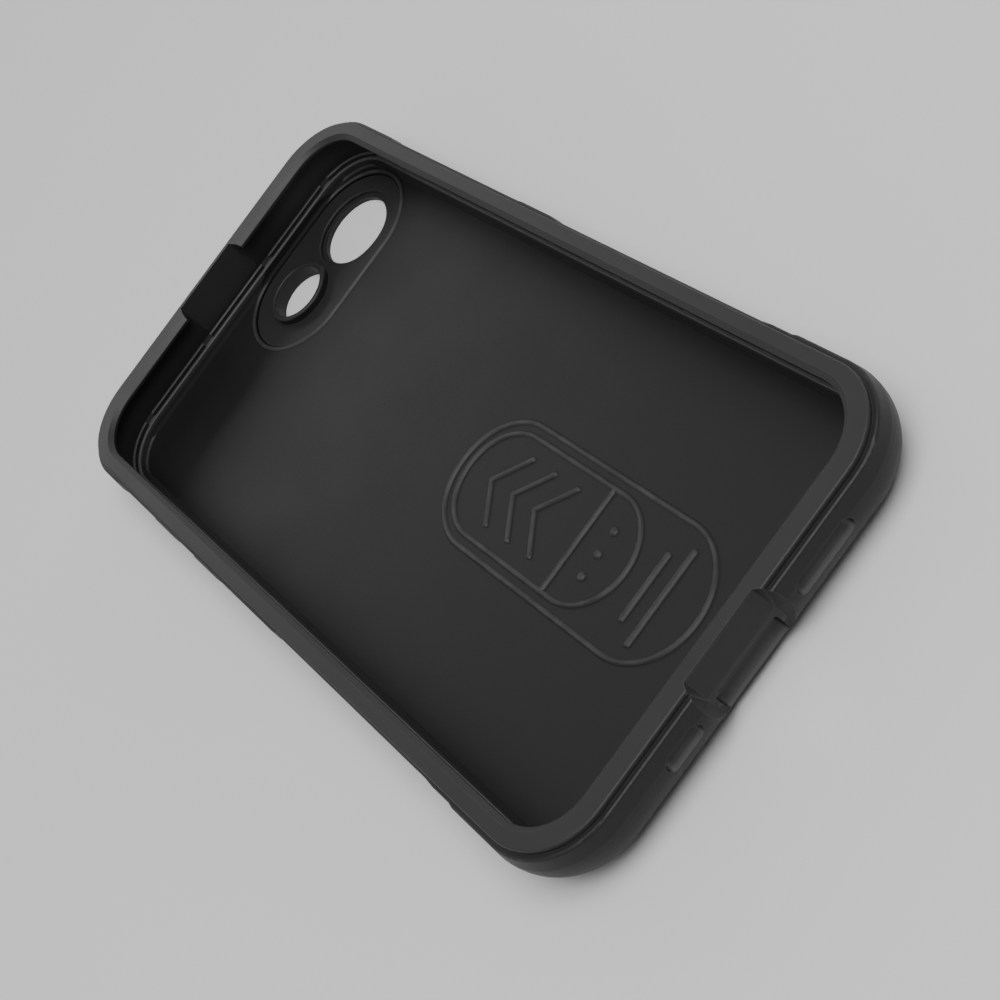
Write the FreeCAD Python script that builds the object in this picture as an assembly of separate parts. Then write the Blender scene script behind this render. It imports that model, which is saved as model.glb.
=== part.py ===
"""Two-layer protective case for a compact 4.7-inch phone, open side up, in millimetres.

The origin is under the middle of the case, on its lowest plane. +X is the side with the
power button, +Y is the camera end and +Z points to the screen side.

Every wall is described by a section: its points are (out, z), where out is the distance
outward from the pocket wall and z is the height. A section is carried round the pocket.
"""
import FreeCAD, Part

import math
import os

from FreeCAD import Vector

# The phone that the case fits, and the pocket that holds it.
PHONE_WIDTH = 67.3
PHONE_LENGTH = 138.4
PHONE_FIT = 0.2
POCKET_X = PHONE_WIDTH / 2 + PHONE_FIT
POCKET_Y = PHONE_LENGTH / 2 + PHONE_FIT
POCKET_RADIUS = 10.2

# The walls are thicker at the two ends, so the outer surfaces follow a longer path.
END_EXTRA = 1.0
BODY_Y = POCKET_Y + END_EXTRA

# Heights of the layers.
CASE_TOP = 10.6
POCKET_FLOOR = 1.8
SHELL_BOTTOM = 1.1
PLATE_BACK = 0.5
SEAM_Z = 9.75

# Section of the soft shell.
SHELL_WALL = 0.9
SHELL_BEND = 3.7
CORE_REACH = 4.6
LIP_OVERHANG = 1.85
LIP_BEVEL = 0.8
LIP_BEVEL_DROP = 0.6
LIP_UNDER_Z = 9.4
LIP_ROUND = 0.3

# Foot of the inner walls: a sloped skirting with a small ledge, and cushion ribs above it.
FOOT_REACH = 1.5
FOOT_ROUND = 0.5
LEDGE_Z = 3.1
LEDGE_FRONT = 0.95
LEDGE_BACK = 0.3
LEDGE_ROUND = 0.2
WALL_START_Z = 3.9
RIB_TOP = 3.85
RIB_FRONTS = (0.5, 0.45)
RIB_ROUND = 0.15
RIB_GAP = 2.0
RIB_LENGTH = 14.7
CORNER_RIB_MARGIN = 12.5

# Section of the bumper. A level is how far its widest line stands out from the body path.
CORNER_LEVEL = 2.15
CONTROL_LEVEL = 1.85
WAIST_LEVEL = 1.6
GRIP_LEVEL = 2.0
BULGE_Z = 6.8
SHOULDER_ROUND = 0.45
SHOULDER_SHARE = 0.64
PLATE_INSET = 6.0

# Where the level of the bumper changes along each long side, from the port end up.
RIGHT_LEVELS = (
    (-50.9, CORNER_LEVEL), (-49.9, CONTROL_LEVEL), (-46.0, CONTROL_LEVEL), (-44.0, WAIST_LEVEL),
    (1.5, WAIST_LEVEL), (4.0, GRIP_LEVEL), (11.5, GRIP_LEVEL), (12.7, CONTROL_LEVEL),
    (50.0, CONTROL_LEVEL), (51.0, CORNER_LEVEL),
)
LEFT_LEVELS = (
    (-50.9, CORNER_LEVEL), (-49.9, CONTROL_LEVEL), (-46.0, CONTROL_LEVEL), (-44.0, WAIST_LEVEL),
    (-2.5, WAIST_LEVEL), (-1.0, CONTROL_LEVEL), (55.0, CONTROL_LEVEL), (56.0, CORNER_LEVEL),
)

# Camera end.
GUARD_CENTRE = (14.2, 56.8)
GUARD_HALF_STRAIGHT = 6.8
GUARD_RADIUS = 10.45
GUARD_TOP = 1.55
GUARD_DISH = 0.5
GUARD_RIM = 1.2
GUARD_EDGE = 0.25
RING_WIDTH = 1.1
RING_HEIGHT = 0.22
LENS_CENTRE = (21.05, 56.4)
LENS_RADIUS = 6.45
LENS_STEP_RADIUS = 7.3
LENS_STEP_DEPTH = 0.75
LENS_EDGE_ROUND = 0.2
LENS_RING_RADIUS = 7.65
FLASH_CENTRE = (7.05, 56.9)
FLASH_RADIUS = 4.9
COLLAR_RADIUS = 5.85
COLLAR_TOP = 2.9
COLLAR_ROUND = 0.28
NOTCH_HALF_WIDTHS = (7.8, 6.8)
NOTCH_DEPTH = 1.0
NOTCH_FLOOR = 4.3

# Port end.
PORT_SIZE = (11.8, 4.5)
PORT_CORNER = 1.0
PORT_RECESS_HALF_WIDTHS = (6.5, 8.2)
PORT_RECESS_TOP = -0.25
PORT_RECESS_FOOT = 0.9
PORT_RECESS_KNEE_Z = 6.8
SLOT_HEIGHT = 2.7
SLOT_Z = 6.35
SLOT_SPANS = ((-15.8, -9.3), (9.3, 19.9))

# Buttons and the switch opening on the long sides.
BUTTON_Z = 5.9
POWER_Y = 39.5
VOLUME_UP_Y = 39.5
VOLUME_DOWN_Y = 24.5
BUTTON_CAP = (10.4, 3.0)
BUTTON_FLANGE = (11.6, 4.0)
BUTTON_NUB = (5.0, 2.0)
BUTTON_GAP = 0.2
BUTTON_OUT = 2.1
BUTTON_ROUND = 0.35
FLANGE_OUT = 0.98
FLANGE_THICKNESS = 0.4
NUB_OUT = 0.3
SKIN_OUT = 1.0
SWITCH_Y = 50.4
SWITCH_SIZE = (6.4, 3.2)

# Emblem of low ridges on the floor.
EMBLEM_Y = -30.9
RIDGE_HEIGHT = 0.24
RIDGE_SINK = 0.1
RIDGE_TOP_WIDTH = 0.35
RIDGE_FLARE = 1.3
EMBLEM_OUTER = (17.3, 10.1)
EMBLEM_INNER = (10.65, 8.35)
EMBLEM_INNER_Y = -24.3
EMBLEM_DIVIDER_Y = -32.6
CHEVRON_ARM = 7.6
CHEVRON_ANGLE = 40

CUT_REACH = 6.0
FULL_TURN = (0, 90, 180, 270)
UP = Vector(0, 0, 1)


def fuse(pieces):
    """Join solids that meet face to face, and drop the lines between them."""
    return pieces[0].multiFuse(pieces[1:]).removeSplitter()


def outline(corners, across=0.0, along=0.0):
    """Closed wire in a plane that faces +Y, with each corner (out, z, radius) rounded."""
    points = [Vector(across + out, along, z) for out, z, _ in corners]
    ends = []
    for index, (_, _, radius) in enumerate(corners):
        here = points[index]
        back = (points[index - 1] - here).normalize()
        ahead = (points[(index + 1) % len(points)] - here).normalize()
        half_angle = back.getAngle(ahead) / 2
        reach = radius / math.tan(half_angle)
        middle = (back + ahead).normalize() * (radius / math.sin(half_angle) - radius)
        ends.append((here + back * reach, here + middle, here + ahead * reach, radius))
    edges = []
    for index, (arc_start, arc_middle, arc_end, radius) in enumerate(ends):
        if radius > 0:
            edges.append(Part.Arc(arc_start, arc_middle, arc_end).toShape())
        edges.append(Part.makeLine(arc_end, ends[(index + 1) % len(ends)][0]))
    return Part.Wire(edges)


def shell_corners():
    """Outer shape of the shell, as if it were solid, from its core outward."""
    return [
        (-CORE_REACH, SHELL_BOTTOM, 0),
        (SHELL_WALL, SHELL_BOTTOM, SHELL_BEND),
        (SHELL_WALL, CASE_TOP, LIP_ROUND),
        (-CORE_REACH, CASE_TOP, 0),
    ]


def cavity_corners():
    """Inside of the shell, from the floor past the skirting and the wall to the lip."""
    return [
        (-CORE_REACH, POCKET_FLOOR, 0),
        (-FOOT_REACH, POCKET_FLOOR, FOOT_ROUND),
        (-LEDGE_FRONT, LEDGE_Z, LEDGE_ROUND),
        (-LEDGE_BACK, LEDGE_Z, 0.05),
        (0, WALL_START_Z, 0.5),
        (0, LIP_UNDER_Z - 0.5, 0.35),
        (-0.5, LIP_UNDER_Z, 0.3),
        (-LIP_OVERHANG, LIP_UNDER_Z, 0.25),
        (-LIP_OVERHANG, CASE_TOP - LIP_BEVEL_DROP, 0.2),
        (-LIP_OVERHANG + LIP_BEVEL, CASE_TOP, 0),
        (-LIP_OVERHANG + LIP_BEVEL, CASE_TOP + 1.0, 0),
        (-CORE_REACH, CASE_TOP + 1.0, 0),
    ]


def bumper_corners(level):
    """Section of the bumper where its widest line stands out by level."""
    shoulder = SHELL_WALL + SHOULDER_SHARE * (level - SHELL_WALL)
    return [
        (SHELL_WALL, SEAM_Z, 0),
        (shoulder, SEAM_Z, SHOULDER_ROUND),
        (level, BULGE_Z + 0.6, 1.6),
        (level, 0, BULGE_Z - 0.3),
        (-PLATE_INSET, 0, 0),
        (-PLATE_INSET, SHELL_BOTTOM, 0),
        (SHELL_WALL, SHELL_BOTTOM, SHELL_BEND),
    ]


def wall_reach(turn, half_length):
    """Distance of a wall from the middle, and half the length of its straight stretch."""
    if turn % 180 == 0:
        return POCKET_X, half_length - POCKET_RADIUS
    return half_length, POCKET_X - POCKET_RADIUS


def corner_sweep(corners, turn, half_length, start=0, sweep=90):
    """Part of the quarter turn that follows a wall, seen anticlockwise from above."""
    across, straight = wall_reach(turn, half_length)
    axis_foot = Vector(across - POCKET_RADIUS, straight, 0)
    face = Part.Face(outline(corners, across=across, along=straight))
    face.rotate(axis_foot, UP, start)
    quarter = face.revolve(axis_foot, UP, sweep)
    quarter.rotate(Vector(), UP, turn)
    return quarter


def straight_sweep(corners, turn, half_length):
    """One straight wall."""
    across, straight = wall_reach(turn, half_length)
    face = Part.Face(outline(corners, across=across, along=-straight))
    wall = face.extrude(Vector(0, 2 * straight, 0))
    wall.rotate(Vector(), UP, turn)
    return wall


def stepped_sweep(levels, turn):
    """One long wall of the bumper, whose level changes along its length."""
    across, straight = wall_reach(turn, BODY_Y)
    stations = [(-straight, levels[0][1])] + list(levels) + [(straight, levels[-1][1])]
    wires = [outline(bumper_corners(level), across=across, along=along) for along, level in stations]
    spans = [Part.makeLoft([low, high], True, True) for low, high in zip(wires, wires[1:])]
    wall = fuse(spans)
    wall.rotate(Vector(), UP, turn)
    return wall


def filled_sweep(corners, half_length):
    """Solid with one section all round and a core that fills its middle."""
    pieces = [straight_sweep(corners, turn, half_length) for turn in FULL_TURN]
    pieces += [corner_sweep(corners, turn, half_length) for turn in FULL_TURN]
    heights = [z for out, z, _ in corners if out == -CORE_REACH]
    pieces.append(rounded_prism(-CORE_REACH, half_length, min(heights), max(heights)))
    return fuse(pieces)


def rounded_prism(out, half_length, low, high):
    """Rounded block whose sides stand out from the path by out."""
    half_x = POCKET_X + out
    half_y = half_length + out
    block = Part.makeBox(2 * half_x, 2 * half_y, high - low, Vector(-half_x, -half_y, low))
    upright = [edge for edge in block.Edges if abs(edge.tangentAt(edge.FirstParameter).z) > 0.9]
    return block.makeFillet(POCKET_RADIUS + out, upright)


def stadium_wire(half_straight, radius, z=0.0):
    """Outline with two straight sides along X and two round ends."""
    corners = (
        Vector(half_straight, -radius, z), Vector(half_straight, radius, z),
        Vector(-half_straight, radius, z), Vector(-half_straight, -radius, z),
    )
    right_tip = Vector(half_straight + radius, 0, z)
    left_tip = Vector(-half_straight - radius, 0, z)
    return Part.Wire([
        Part.Arc(corners[0], right_tip, corners[1]).toShape(),
        Part.makeLine(corners[1], corners[2]),
        Part.Arc(corners[2], left_tip, corners[3]).toShape(),
        Part.makeLine(corners[3], corners[0]),
    ])


def stadium(centre, half_straight, radius, low, high):
    """Upright prism on a stadium outline."""
    prism = Part.Face(stadium_wire(half_straight, radius)).extrude(Vector(0, 0, high - low))
    prism.translate(Vector(centre[0], centre[1], low))
    return prism


def stadium_taper(centre, low, high):
    """Stadium that changes size with height. low and high are (half_straight, radius, z)."""
    taper = Part.makeLoft([stadium_wire(*low), stadium_wire(*high)], True, True)
    taper.translate(Vector(centre[0], centre[1], 0))
    return taper


def side_pill(size, middle, inner_out, outer_out):
    """Pill that points out of the +X wall. middle is (y, z)."""
    length, height = size
    pill = stadium((0, 0), (length - height) / 2, height / 2, 0, outer_out - inner_out)
    pill.rotate(Vector(), Vector(1, 1, 1), 120)
    pill.translate(Vector(POCKET_X + inner_out, middle[0], middle[1]))
    return pill


def port_end_pill(size, middle):
    """Pill that goes right through the wall at the port end. middle is (x, z)."""
    length, height = size
    pill = stadium((0, 0), (length - height) / 2, height / 2, 0, 2 * CUT_REACH)
    pill.rotate(Vector(), Vector(1, 0, 0), 90)
    pill.translate(Vector(middle[0], -POCKET_Y + CUT_REACH, middle[1]))
    return pill


def to_left(shape):
    """Move a shape from the +X wall to the same height and place on the -X wall."""
    return shape.mirror(Vector(), Vector(1, 0, 0))


def port_opening():
    """Opening for the charging plug. Its lower face is level with the pocket floor."""
    width, height = PORT_SIZE
    corner = Vector(-width / 2, -POCKET_Y - CUT_REACH, POCKET_FLOOR)
    block = Part.makeBox(width, 2 * CUT_REACH, height, corner)
    along = [edge for edge in block.Edges if abs(edge.tangentAt(edge.FirstParameter).y) > 0.9]
    return block.makeFillet(PORT_CORNER, along)


def port_end_cuts():
    """Charging port opening and the two slots beside it."""
    cuts = [port_opening()]
    for low, high in SLOT_SPANS:
        cuts.append(port_end_pill((high - low, SLOT_HEIGHT), ((low + high) / 2, SLOT_Z)))
    return cuts


def port_recess():
    """Recess in the outer face round the port, wider outside, with a back that leans out."""
    inner, outer = PORT_RECESS_HALF_WIDTHS
    front_y = -BODY_Y - CORNER_LEVEL - 0.2
    rings = []
    for z, out in (
        (CASE_TOP + 1.0, PORT_RECESS_TOP),
        (CASE_TOP - 0.5, PORT_RECESS_TOP),
        (PORT_RECESS_KNEE_Z, PORT_RECESS_FOOT),
        (-1.0, PORT_RECESS_FOOT),
    ):
        back_y = -BODY_Y - out
        points = [
            Vector(-outer, front_y, z), Vector(-inner, back_y, z),
            Vector(inner, back_y, z), Vector(outer, front_y, z),
        ]
        rings.append(Part.makePolygon(points + points[:1]))
    return Part.makeLoft(rings, True, True)


def lip_notch():
    """Gap in the screen lip at the camera end, with a back that leans out of the wall."""
    wide, narrow = NOTCH_HALF_WIDTHS
    front_y = POCKET_Y - LIP_OVERHANG - 0.5
    rings = []
    for z, depth in ((NOTCH_FLOOR, 0.0), (CASE_TOP, NOTCH_DEPTH)):
        points = [
            Vector(-wide, front_y, z), Vector(wide, front_y, z),
            Vector(narrow, POCKET_Y + depth, z), Vector(-narrow, POCKET_Y + depth, z),
        ]
        rings.append(Part.makePolygon(points + points[:1]))
    return Part.makeLoft(rings, True, True)


def guard_opening():
    """Stadium that the camera guard fills, cut from the layers round it."""
    return stadium(GUARD_CENTRE, GUARD_HALF_STRAIGHT, GUARD_RADIUS, -1.0, LEDGE_Z)


def ring_room():
    """Room that the foot of the walls leaves for the ring round the camera guard."""
    return stadium(GUARD_CENTRE, GUARD_HALF_STRAIGHT, GUARD_RADIUS + RING_WIDTH, POCKET_FLOOR, CASE_TOP / 2)


def ring():
    """Low raised ring on the floor round the camera guard, sloped on both sides."""
    base = GUARD_RADIUS + RING_WIDTH
    top = POCKET_FLOOR + RING_HEIGHT
    outer = stadium_taper(
        GUARD_CENTRE,
        (GUARD_HALF_STRAIGHT, base, POCKET_FLOOR - RIDGE_SINK),
        (GUARD_HALF_STRAIGHT, base - 0.5, top),
    )
    inner = stadium_taper(
        GUARD_CENTRE,
        (GUARD_HALF_STRAIGHT, GUARD_RADIUS - 0.1, POCKET_FLOOR - RIDGE_SINK),
        (GUARD_HALF_STRAIGHT, GUARD_RADIUS + 0.3, top),
    )
    return outer.cut(inner)


def ridge(half_straight, radius, grow):
    """Stadium whose sides lean in as it rises, or lean out where grow is -1."""
    spread = RIDGE_FLARE * (RIDGE_HEIGHT + RIDGE_SINK)
    return stadium_taper(
        (0, 0),
        (half_straight, radius + grow * spread, POCKET_FLOOR - RIDGE_SINK),
        (half_straight, radius, POCKET_FLOOR + RIDGE_HEIGHT),
    )


def ridge_line(half_straight, radius, y):
    """Low ridge along the outline of an upright stadium."""
    half_top = RIDGE_TOP_WIDTH / 2
    line = ridge(half_straight, radius + half_top, 1).cut(ridge(half_straight, radius - half_top, -1))
    line.rotate(Vector(), UP, 90)
    line.translate(Vector(0, y, 0))
    return line


def bar(length, width, centre, angle=0.0):
    """Low round-ended bar."""
    block = ridge((length - width) / 2, width / 2, 1)
    block.rotate(Vector(), UP, angle)
    block.translate(Vector(centre[0], centre[1], 0))
    return block


def emblem():
    """Plain raised sign: two stadium outlines, three chevrons, three dots and two bars."""
    pieces = [
        ridge_line(*EMBLEM_OUTER, EMBLEM_Y),
        ridge_line(*EMBLEM_INNER, EMBLEM_INNER_Y),
        bar(2 * EMBLEM_INNER[1], RIDGE_TOP_WIDTH, (0, EMBLEM_DIVIDER_Y)),
    ]
    arm_x = (CHEVRON_ARM - RIDGE_TOP_WIDTH) / 2 * math.cos(math.radians(CHEVRON_ANGLE))
    for y in (-13.5, -19.0, -24.5):
        for side in (-1, 1):
            pieces.append(bar(CHEVRON_ARM, RIDGE_TOP_WIDTH, (side * arm_x, y), -side * CHEVRON_ANGLE))
    for x in (-3.6, 0.0, 3.6):
        pieces.append(bar(0.9, 0.8, (x, -37.2)))
    for length, y in ((10.4, -47.6), (14.6, -51.0)):
        pieces.append(bar(length, 0.5, (0, y)))
    return pieces


def rib_corners():
    """Section of a cushion rib that stands on the ledge."""
    low, high = RIB_FRONTS
    return [
        (-low, LEDGE_Z - 0.1, 0),
        (-high, RIB_TOP, RIB_ROUND),
        (SHELL_WALL / 2, RIB_TOP, 0),
        (SHELL_WALL / 2, LEDGE_Z - 0.1, 0),
    ]


def rib(turn, middle):
    """Raised cushion rib low on the inside of one straight wall."""
    across = wall_reach(turn, POCKET_Y)[0]
    face = Part.Face(outline(rib_corners(), across=across, along=middle - RIB_LENGTH / 2))
    ridge = face.extrude(Vector(0, RIB_LENGTH, 0))
    ridge.rotate(Vector(), UP, turn)
    return ridge


def ribs():
    """Rows of cushion ribs with a small gap between neighbours."""
    rows = []
    pitch = RIB_LENGTH + RIB_GAP
    for turn, count in ((90, 3), (270, 3), (0, 7), (180, 7)):
        for index in range(count):
            rows.append(rib(turn, (index - (count - 1) / 2) * pitch))
    sweep = 90 - 2 * CORNER_RIB_MARGIN
    for turn in FULL_TURN:
        rows.append(corner_sweep(rib_corners(), turn, POCKET_Y, CORNER_RIB_MARGIN, sweep))
    return rows


def button_windows(inner_out, outer_out, size):
    """Openings of one size for the three buttons."""
    return [
        side_pill(size, (POWER_Y, BUTTON_Z), inner_out, outer_out),
        to_left(side_pill(size, (VOLUME_UP_Y, BUTTON_Z), inner_out, outer_out)),
        to_left(side_pill(size, (VOLUME_DOWN_Y, BUTTON_Z), inner_out, outer_out)),
    ]


def widened(size, gap):
    """A pill size with the same gap all round."""
    return (size[0] + 2 * gap, size[1] + 2 * gap)


def switch_opening():
    """Opening for the ring switch on the left side."""
    return to_left(side_pill(SWITCH_SIZE, (SWITCH_Y, BUTTON_Z), -CUT_REACH / 2, CUT_REACH))


def inner_shell():
    """Soft liner with the floor, the inner walls and the screen lip."""
    shell = filled_sweep(shell_corners(), BODY_Y).cut(filled_sweep(cavity_corners(), POCKET_Y))
    shell = shell.cut(ring_room())
    shell = shell.multiFuse(ribs() + emblem() + [ring()]).removeSplitter()
    cuts = [guard_opening(), lip_notch(), port_recess(), switch_opening()] + port_end_cuts()
    cuts += button_windows(-CUT_REACH / 2, CUT_REACH, widened(BUTTON_FLANGE, BUTTON_GAP))
    return shell.cut(cuts)


def bumper_frame():
    """Shock frame outside the shell, thicker at the corners."""
    corners = bumper_corners(CORNER_LEVEL)
    left_levels = [(-along, level) for along, level in reversed(LEFT_LEVELS)]
    pieces = [corner_sweep(corners, turn, BODY_Y) for turn in FULL_TURN]
    pieces += [straight_sweep(corners, turn, BODY_Y) for turn in (90, 270)]
    pieces += [stepped_sweep(RIGHT_LEVELS, 0), stepped_sweep(left_levels, 180)]
    frame = fuse(pieces)
    cuts = [guard_opening(), port_recess(), switch_opening()] + port_end_cuts()
    cuts += button_windows(0.0, SKIN_OUT, widened(BUTTON_FLANGE, BUTTON_GAP))
    cuts += button_windows(0.0, CUT_REACH, widened(BUTTON_CAP, BUTTON_GAP))
    return frame.cut(cuts)


def back_plate():
    """Stiff sheet that closes the back inside the bumper."""
    return rounded_prism(-PLATE_INSET, BODY_Y, PLATE_BACK, SHELL_BOTTOM).cut(guard_opening())


def camera_guard():
    """Pill-shaped insert with a rim, a ring under the lens and a collar round the flash."""
    body = stadium(GUARD_CENTRE, GUARD_HALF_STRAIGHT, GUARD_RADIUS, 0, GUARD_TOP)
    top_rim = [edge for edge in body.Edges if edge.BoundBox.ZMin > GUARD_TOP - 0.01]
    body = body.makeChamfer(GUARD_EDGE, top_rim)
    dish = stadium(GUARD_CENTRE, GUARD_HALF_STRAIGHT, GUARD_RADIUS - GUARD_RIM, -1.0, GUARD_DISH)
    lens_centre = Vector(*LENS_CENTRE, 0)
    flash_centre = Vector(*FLASH_CENTRE, 0)
    lens_ring = Part.makeCylinder(LENS_RING_RADIUS, GUARD_TOP, lens_centre)
    collar = Part.makeCylinder(COLLAR_RADIUS, COLLAR_TOP, flash_centre)
    collar = collar.cut(Part.makeCylinder(FLASH_RADIUS, CUT_REACH, flash_centre - UP))
    collar_rims = [edge for edge in collar.Edges if edge.BoundBox.ZMin > COLLAR_TOP - 0.01]
    collar = collar.makeFillet(COLLAR_ROUND, collar_rims)
    lens = Part.makeCylinder(LENS_RADIUS, CUT_REACH, lens_centre - UP)
    step_foot = lens_centre + UP * (GUARD_TOP - LENS_STEP_DEPTH)
    lens_step = Part.makeCylinder(LENS_STEP_RADIUS, CUT_REACH, step_foot)
    flash = Part.makeCylinder(FLASH_RADIUS, CUT_REACH, flash_centre - UP)
    plate = body.cut(dish).fuse(lens_ring).cut([lens, lens_step, flash])
    lens_top = lens_centre + UP * GUARD_TOP
    lens_rim = [edge for edge in plate.Edges if edge.BoundBox.Center.distanceToPoint(lens_top) < 0.1]
    plate = plate.makeFillet(LENS_EDGE_ROUND, lens_rim)
    return plate.fuse(collar).removeSplitter()


def button(middle_y):
    """Button on the +X side: outer cap, retaining flange and the nub that meets the phone."""
    middle = (middle_y, BUTTON_Z)
    cap = side_pill(BUTTON_CAP, middle, FLANGE_OUT, BUTTON_OUT)
    rim = [edge for edge in cap.Edges if edge.BoundBox.XMin > POCKET_X + BUTTON_OUT - 0.01]
    cap = cap.makeFillet(BUTTON_ROUND, rim)
    flange = side_pill(BUTTON_FLANGE, middle, FLANGE_OUT - FLANGE_THICKNESS, FLANGE_OUT)
    nub = side_pill(BUTTON_NUB, middle, NUB_OUT, FLANGE_OUT - FLANGE_THICKNESS)
    return fuse([cap, flange, nub])


def build():
    """Make every piece and write one file for each."""
    pieces = {
        "inner_shell": inner_shell(),
        "bumper_frame": bumper_frame(),
        "back_plate": back_plate(),
        "camera_guard": camera_guard(),
        "power_button": button(POWER_Y),
        "volume_up_button": to_left(button(VOLUME_UP_Y)),
        "volume_down_button": to_left(button(VOLUME_DOWN_Y)),
    }
    os.makedirs("parts", exist_ok=True)
    for name, shape in pieces.items():
        shape.exportStep(f"parts/{name}.step")
        print(f"{name}: valid {shape.isValid()}, solids {len(shape.Solids)}, volume {shape.Volume:.0f}")


build()
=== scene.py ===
import math

import bpy
from mathutils import Matrix, Vector


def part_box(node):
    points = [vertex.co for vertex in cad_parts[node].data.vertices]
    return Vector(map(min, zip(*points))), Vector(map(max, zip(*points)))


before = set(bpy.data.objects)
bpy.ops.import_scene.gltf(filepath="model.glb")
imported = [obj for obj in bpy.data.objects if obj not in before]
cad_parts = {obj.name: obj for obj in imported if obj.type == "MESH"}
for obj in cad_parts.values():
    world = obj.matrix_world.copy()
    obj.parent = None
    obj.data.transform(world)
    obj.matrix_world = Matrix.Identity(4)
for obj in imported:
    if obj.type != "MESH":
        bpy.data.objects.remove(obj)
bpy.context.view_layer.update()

MM = 0.001

# Sizes inside the soft shell, which its box doesn't tell. Heights are above the pocket floor.
FLOOR_THICKNESS = 0.7 * MM
LEDGE_HEIGHT = 1.3 * MM
RIB_HEIGHT = 2.05 * MM
SILL_HEIGHT = 5.3 * MM
FOOT_INSET_X = 2.9 * MM
FOOT_INSET_Y = 4.2 * MM
END_WALL = 1.9 * MM
PORT_HALF_WIDTH = 5.9 * MM
PORT_APRON = 3.0 * MM

# Places that come from the frame.
SHELL_LOW, SHELL_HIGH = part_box("inner_shell")
LIP_TOP = SHELL_HIGH.z
POCKET_FLOOR = SHELL_LOW.z + FLOOR_THICKNESS
LEDGE_Z = POCKET_FLOOR + LEDGE_HEIGHT
RIB_Z = POCKET_FLOOR + RIB_HEIGHT
SILL_TOP = POCKET_FLOOR + SILL_HEIGHT
FLAT_FLOOR = (SHELL_HIGH.x - FOOT_INSET_X, SHELL_HIGH.y - FOOT_INSET_Y)
END_WALL_Y = SHELL_LOW.y + END_WALL

# Stretches over which a mark fades in or out, each from its start to its end.
POCKET_RISE = (POCKET_FLOOR + 0.5 * MM, POCKET_FLOOR + 4.0 * MM)
RIDGE_START = (POCKET_FLOOR + 0.05 * MM, POCKET_FLOOR + 0.15 * MM)
RIDGE_END = (POCKET_FLOOR + 0.3 * MM, POCKET_FLOOR + 0.4 * MM)
FOOT_END = (POCKET_FLOOR + 0.6 * MM, POCKET_FLOOR + 0.9 * MM)
STEPS_START = (LEDGE_Z - 0.3 * MM, LEDGE_Z - 0.15 * MM)
STEPS_END = (RIB_Z + 0.15 * MM, RIB_Z + 0.3 * MM)
PORT_SIDE = (PORT_HALF_WIDTH - 0.3 * MM, PORT_HALF_WIDTH + 0.3 * MM)
SILL_END_Y = (END_WALL_Y, END_WALL_Y + 1.0 * MM)
SILL_END_Z = (SILL_TOP - 0.4 * MM, SILL_TOP)
FLAT_FLOOR_FADE = 0.2 * MM
FACING_UP = (0.3, 0.8)

# The camera looks at a point on the lip plane from the port end, rolled to one side. Its
# angles are in degrees, and its lens and sensor in millimetres.
CAMERA_AIM = Vector((-1.8 * MM, -25.5 * MM, LIP_TOP))
CAMERA_DISTANCE = 256.5 * MM
CAMERA_HEADING = 0.95
CAMERA_PITCH = 40.5
CAMERA_ROLL = 53.05
CAMERA_LENS = 70.56
CAMERA_SENSOR = 36.0
CAMERA_CLIP = 10 * MM

# Soft lights: place and size in metres, and power in watts.
LIGHTS = {
    "overhead": ((0.05, -0.25, 0.75), (0.7, 0.6), 8.0),
    "rim": ((0.05, 1.0, 0.38), (0.9, 0.3), 2.5),
    "left_side": ((-0.75, 0.3, 0.22), (0.8, 0.25), 1.4),
    "right_side": ((0.75, 0.3, 0.22), (0.8, 0.25), 1.6),
}
WORLD_LIGHT = 0.25
WHITE = (1, 1, 1, 1)

# The floor's reach from the middle in metres. It is lit up to LIT_REACH, and from there to
# GLOW_REACH it begins to glow.
FLOOR_REACH = 8.0
FLOOR_COLOUR = (0.62, 0.62, 0.62, 1)
FLOOR_ROUGHNESS = 0.7
LIT_REACH = 0.7
GLOW_REACH = 1.5 * LIT_REACH
FAR_GLOW = 0.35

# Moulded soft plastic: nearly black, with a fine spark-eroded texture.
RUBBER_DARK = (0.012, 0.012, 0.0124)
RUBBER_LIGHT = (0.017, 0.017, 0.0175)
# Outer edges, lightened partly by rubbing and partly as painted highlight.
EDGE_WEAR_AND_HIGHLIGHT_TINT = (0.04, 0.04, 0.041)
# Low ridges on the pocket floor, lightened partly by rubbing and partly as painted highlight.
RIDGE_RUB_AND_HIGHLIGHT_TINT = (0.03, 0.03, 0.031)
# Tops of the ledge and ribs, lightened partly by rubbing and partly as painted highlight.
STEP_RUB_AND_HIGHLIGHT_TINT = (0.06, 0.06, 0.061)
# Painted light on the lower faces of the openings at the port end.
OPENING_PAINTED_LIGHT_TINT = (0.075, 0.075, 0.076)
SHINE = 0.4
FOOT_MATT = 0.35

# Its clouds, patches that thin out the worn marks and the painted highlight, and grain, and how much
# roughness the clouds and grain add or take.
CLOUD_PER_METRE = 85
PATCH_PER_METRE = 4 * CLOUD_PER_METRE
GRAIN_PER_METRE = 5200
CLOUD_SPREAD = (0.3, 0.7)
GRAIN_SPREAD = (0.35, 0.65)
PATCH_STRENGTH = (0.4, 1.0)
CLOUD_MATT = 0.03
GRAIN_MATT = 0.04
GRAIN_STRENGTH = 0.35

# Worn look and painted highlight go from full to none as the rounded edge's normal closes in on the face's
# own.
EDGE_RADIUS = 0.28 * MM
EDGE_SAMPLES = 6
EDGE_MARK_FADE = (0.88, 0.995)

# Sockets of the Mix node that carry colours.
MIX_FIRST, MIX_SECOND, MIX_RESULT = 6, 7, 2


def new_material(name):
    """Material with a plain shader, and short ways to add and join nodes."""
    material = bpy.data.materials.new(name)
    material.use_nodes = True
    tree = material.node_tree

    def add(kind, **values):
        node = tree.nodes.new(kind)
        for key, value in values.items():
            setattr(node, key, value)
        return node

    def join(source, target):
        tree.links.new(source, target)

    return material, tree.nodes["Principled BSDF"], add, join


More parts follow.
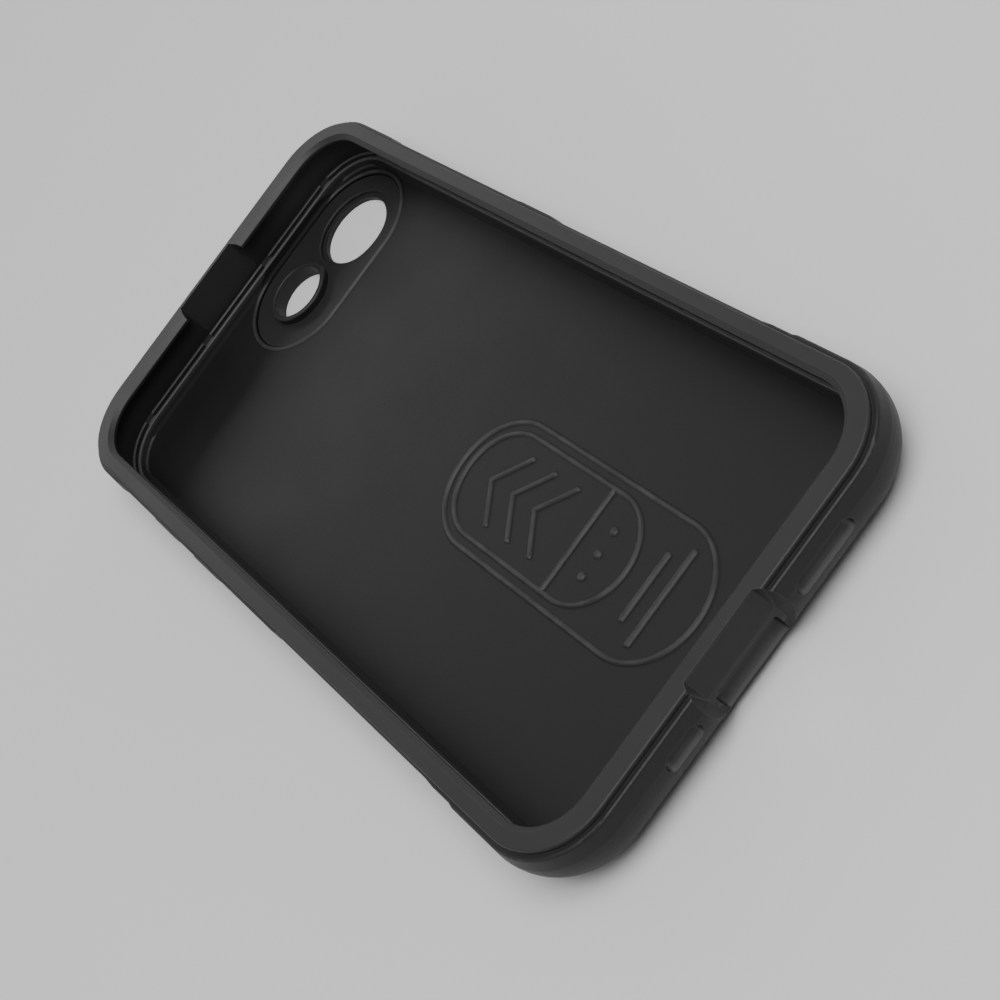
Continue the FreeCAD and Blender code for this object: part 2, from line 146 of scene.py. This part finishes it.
def object_noise(add, join, scale, detail, roughness=0.5):
    """Noise of one scale, in the object's own metres."""
    place = add("ShaderNodeTexCoord")
    noise = add("ShaderNodeTexNoise")
    noise.inputs["Scale"].default_value = scale
    noise.inputs["Detail"].default_value = detail
    noise.inputs["Roughness"].default_value = roughness
    join(place.outputs["Object"], noise.inputs["Vector"])
    return noise.outputs["Fac"]


def object_place(add, join):
    """Sockets of the place on the object: X across, Y along and Z up from the table."""
    place = add("ShaderNodeTexCoord")
    split = add("ShaderNodeSeparateXYZ")
    join(place.outputs["Object"], split.inputs["Vector"])
    return split.outputs


def remap(add, join, source, low, high, to_low, to_high):
    """Stretch a value from one range to another, and hold it inside the new range."""
    node = add("ShaderNodeMapRange")
    for socket, value in zip(("From Min", "From Max", "To Min", "To Max"), (low, high, to_low, to_high)):
        node.inputs[socket].default_value = value
    join(source, node.inputs["Value"])
    return node.outputs["Result"]


def fade_in(add, join, source, stretch):
    """0 before the stretch and 1 after it."""
    return remap(add, join, source, *stretch, 0.0, 1.0)


def fade_out(add, join, source, stretch):
    """1 before the stretch and 0 after it."""
    return remap(add, join, source, *stretch, 1.0, 0.0)


def math_node(add, join, operation, *values):
    """One arithmetic step on one or two values, each a socket or a number."""
    node = add("ShaderNodeMath", operation=operation)
    for socket, value in zip(node.inputs, values):
        if isinstance(value, (int, float)):
            socket.default_value = value
        else:
            join(value, socket)
    return node.outputs["Value"]


def product(add, join, first, *others):
    """All the masks multiplied together."""
    for other in others:
        first = math_node(add, join, "MULTIPLY", first, other)
    return first


def scaled(colour, factor):
    """A colour made lighter or darker."""
    return tuple(factor * part for part in colour)


def blend_colours(add, join, factor, first, second):
    """Mix two colours, each a socket or three numbers."""
    mix = add("ShaderNodeMix", data_type="RGBA")
    join(factor, mix.inputs["Factor"])
    for index, colour in ((MIX_FIRST, first), (MIX_SECOND, second)):
        if isinstance(colour, tuple):
            mix.inputs[index].default_value = (*colour, 1)
        else:
            join(colour, mix.inputs[index])
    return mix.outputs[MIX_RESULT]


def edge_mask(add, join):
    """1 along worn outer edges, which also get a painted highlight, 0 on flat surfaces, from the mesh's own
    shape.
    """
    soft = add("ShaderNodeBevel", samples=EDGE_SAMPLES)
    soft.inputs["Radius"].default_value = EDGE_RADIUS
    geometry = add("ShaderNodeNewGeometry")
    dot = add("ShaderNodeVectorMath", operation="DOT_PRODUCT")
    join(soft.outputs["Normal"], dot.inputs[0])
    join(geometry.outputs["Normal"], dot.inputs[1])
    return fade_out(add, join, dot.outputs["Value"], EDGE_MARK_FADE)


def upward_mask(add, join):
    """1 on faces that look up, 0 on walls."""
    geometry = add("ShaderNodeNewGeometry")
    facing = add("ShaderNodeSeparateXYZ")
    join(geometry.outputs["Normal"], facing.inputs["Vector"])
    return fade_in(add, join, facing.outputs["Z"], FACING_UP)


def flat_floor_mask(add, join, place):
    """1 over the flat pocket floor, 0 where the foot of the walls begins."""
    masks = []
    for axis, limit in zip("XY", FLAT_FLOOR):
        reach = math_node(add, join, "ABSOLUTE", place[axis])
        masks.append(fade_out(add, join, reach, (limit, limit + FLAT_FLOOR_FADE)))
    return product(add, join, *masks)


def step_marks(add, join, height):
    """1 on the tops of the ledge and the cushion ribs, which the phone's edge rubs and which get a painted
    highlight.
    """
    above = fade_in(add, join, height, STEPS_START)
    below = fade_out(add, join, height, STEPS_END)
    return product(add, join, above, below, upward_mask(add, join))


def opening_light_marks(add, join):
    """1 on the lower faces of the openings at the port end, which get painted light, 0 elsewhere.

    The marks stop at the inner face of the end wall, and an apron further in at the port.
    """
    place = object_place(add, join)
    across = math_node(add, join, "ABSOLUTE", place["X"])
    apron = remap(add, join, across, *PORT_SIDE, PORT_APRON, 0.0)
    from_apron = math_node(add, join, "SUBTRACT", place["Y"], apron)
    past_wall = fade_out(add, join, from_apron, SILL_END_Y)
    low = fade_out(add, join, place["Z"], SILL_END_Z)
    return product(add, join, past_wall, low, upward_mask(add, join))


def pocket_look(add, join, plain_look, patches, roughness, floor):
    """Matter plastic low inside the pocket, darkened there with painted shade, with ridges, ledge and rib
    tops lightened by rubbing and painted highlight.

    plain_look is the (colour, roughness, worn edges with painted highlight) of the plastic
    elsewhere, and the same three come back, changed low inside the pocket.
    """
    colour, matt, edge_wear_and_highlight = plain_look
    floor_roughness, floor_shade_factor = floor
    place = object_place(add, join)
    height = place["Z"]
    rise = fade_in(add, join, height, POCKET_RISE)
    matter = remap(add, join, rise, 0.0, 1.0, floor_roughness - roughness, 0.0)
    matt = math_node(add, join, "ADD", matt, matter)
    # Painted shade: the colour darkens towards the pocket floor.
    pocket_shade = add("ShaderNodeVectorMath", operation="SCALE")
    join(colour, pocket_shade.inputs[0])
    join(remap(add, join, rise, 0.0, 1.0, floor_shade_factor, 1.0), pocket_shade.inputs["Scale"])

    # Low ridges on the flat floor are lightened partly by rubbing and partly as painted highlight.
    flat = flat_floor_mask(add, join, place)
    off_floor = fade_in(add, join, height, RIDGE_START)
    below_wall = fade_out(add, join, height, RIDGE_END)
    rubbed_and_highlit = product(add, join, off_floor, below_wall, patches, flat)
    colour = blend_colours(add, join, rubbed_and_highlit, pocket_shade.outputs["Vector"], RIDGE_RUB_AND_HIGHLIGHT_TINT)
    # The ledge and rib tops are lightened partly by rubbing and partly as painted highlight.
    colour = blend_colours(add, join, step_marks(add, join, height), colour, STEP_RUB_AND_HIGHLIGHT_TINT)

    # Worn edges and their painted highlight start above the foot of the walls, and the foot itself is more
    # matt.
    edge_wear_and_highlight = product(add, join, edge_wear_and_highlight, fade_in(add, join, height, FOOT_END))
    foot = math_node(add, join, "SUBTRACT", fade_out(add, join, height, FOOT_END), flat)
    matt = math_node(add, join, "ADD", matt, remap(add, join, foot, 0.0, 1.0, 0.0, FOOT_MATT))
    return colour, matt, edge_wear_and_highlight


def moulded_rubber(name, roughness, grain_height, tone=1.0, floor=None):
    """Dark soft plastic with fine grain, faint clouding, and worn edges with painted highlight.

    floor is the (roughness, shade factor) low inside the pocket: a matter texture, darkened there with
    painted shade.
    """
    material, shader, add, join = new_material(name)
    clouds = object_noise(add, join, CLOUD_PER_METRE, detail=4)
    grain = object_noise(add, join, GRAIN_PER_METRE, detail=2, roughness=0.6)
    blotches = object_noise(add, join, PATCH_PER_METRE, detail=3)
    patches = remap(add, join, blotches, *CLOUD_SPREAD, *PATCH_STRENGTH)

    colour = blend_colours(add, join, clouds, scaled(RUBBER_DARK, tone), scaled(RUBBER_LIGHT, tone))
    matt = remap(add, join, clouds, *CLOUD_SPREAD, roughness - CLOUD_MATT, roughness + CLOUD_MATT)
    # Outer edges are lightened as worn and as painted highlight, in patches.
    edge_wear_and_highlight = product(add, join, edge_mask(add, join), patches)
    if floor is not None:
        colour, matt, edge_wear_and_highlight = pocket_look(add, join, (colour, matt, edge_wear_and_highlight), patches, roughness, floor)
    # Painted light brightens the lower faces of the openings at the port end.
    colour = blend_colours(add, join, opening_light_marks(add, join), colour, OPENING_PAINTED_LIGHT_TINT)
    join(blend_colours(add, join, edge_wear_and_highlight, colour, EDGE_WEAR_AND_HIGHLIGHT_TINT), shader.inputs["Base Color"])

    shader.inputs["Specular IOR Level"].default_value = SHINE
    speckle = remap(add, join, grain, *GRAIN_SPREAD, -GRAIN_MATT, GRAIN_MATT)
    join(math_node(add, join, "ADD", matt, speckle), shader.inputs["Roughness"])

    bump = add("ShaderNodeBump")
    bump.inputs["Strength"].default_value = GRAIN_STRENGTH
    bump.inputs["Distance"].default_value = grain_height
    join(grain, bump.inputs["Height"])
    join(bump.outputs["Normal"], shader.inputs["Normal"])
    return material


def add_camera():
    """Camera that looks at its aim from the named heading, pitch, roll and distance."""
    data = bpy.data.cameras.new("camera")
    data.lens = CAMERA_LENS
    data.sensor_width = CAMERA_SENSOR
    data.clip_start = CAMERA_CLIP
    turn = (
        Matrix.Rotation(math.radians(-CAMERA_HEADING), 3, "Z")
        @ Matrix.Rotation(math.radians(90 - CAMERA_PITCH), 3, "X")
        @ Matrix.Rotation(math.radians(-CAMERA_ROLL), 3, "Z")
    )
    camera = bpy.data.objects.new("camera", data)
    camera.matrix_world = Matrix.Translation(CAMERA_AIM + turn.col[2] * CAMERA_DISTANCE) @ turn.to_4x4()
    bpy.context.scene.collection.objects.link(camera)
    bpy.context.scene.camera = camera


def add_area_light(name, place, size, power):
    """Rectangular soft light that faces the middle of the case."""
    data = bpy.data.lights.new(name, "AREA")
    data.shape = "RECTANGLE"
    data.size, data.size_y = size
    data.energy = power
    light = bpy.data.objects.new(name, data)
    light.location = place
    light.rotation_euler = (-Vector(place)).to_track_quat("-Z", "Y").to_euler()
    bpy.context.scene.collection.objects.link(light)


def add_floor():
    """Wide pale floor. Its far part, which the lights don't reach, glows to stay as pale."""
    mesh = bpy.data.meshes.new("studio_floor")
    corners = [(x * FLOOR_REACH, y * FLOOR_REACH, 0) for x, y in ((-1, -1), (1, -1), (1, 1), (-1, 1))]
    mesh.from_pydata(corners, [], [(0, 1, 2, 3)])
    floor = bpy.data.objects.new("studio_floor", mesh)
    bpy.context.scene.collection.objects.link(floor)
    material, shader, add, join = new_material("studio_floor")
    shader.inputs["Base Color"].default_value = FLOOR_COLOUR
    shader.inputs["Roughness"].default_value = FLOOR_ROUGHNESS
    place = add("ShaderNodeTexCoord")
    distance = add("ShaderNodeVectorMath", operation="LENGTH")
    join(place.outputs["Object"], distance.inputs[0])
    glow = remap(add, join, distance.outputs["Value"], LIT_REACH, GLOW_REACH, 0.0, FAR_GLOW)
    shader.inputs["Emission Color"].default_value = WHITE
    join(glow, shader.inputs["Emission Strength"])
    mesh.materials.append(material)


def add_world():
    """Even white light from all round."""
    world = bpy.data.worlds.new("studio")
    world.use_nodes = True
    background = world.node_tree.nodes["Background"]
    background.inputs["Color"].default_value = WHITE
    background.inputs["Strength"].default_value = WORLD_LIGHT
    bpy.context.scene.world = world


finishes = {
    # The shell's floor pair is the matter roughness and the painted shade factor low in the pocket.
    "inner_shell": moulded_rubber("soft_shell", roughness=0.52, grain_height=0.02 * MM, floor=(0.56, 0.12)),
    # tone makes lighter and darker copies of one rubber; the darker bumper and guard are partly painted
    # shade.
    "bumper_frame": moulded_rubber("bumper", roughness=0.52, grain_height=0.03 * MM, tone=0.4),
    "back_plate": moulded_rubber("back_sheet", roughness=0.6, grain_height=0.04 * MM, tone=1.3),
    "camera_guard": moulded_rubber("guard", roughness=0.56, grain_height=0.015 * MM, tone=0.6),
}
for key in ("power", "volume_up", "volume_down"):
    finishes[f"{key}_button"] = moulded_rubber(f"{key}_key", roughness=0.5, grain_height=0.02 * MM)
for name, material in finishes.items():
    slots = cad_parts[name].data.materials
    slots.clear()
    slots.append(material)

add_camera()
add_floor()
add_world()
for name, (place, size, power) in LIGHTS.items():
    add_area_light(name, place, size, power)
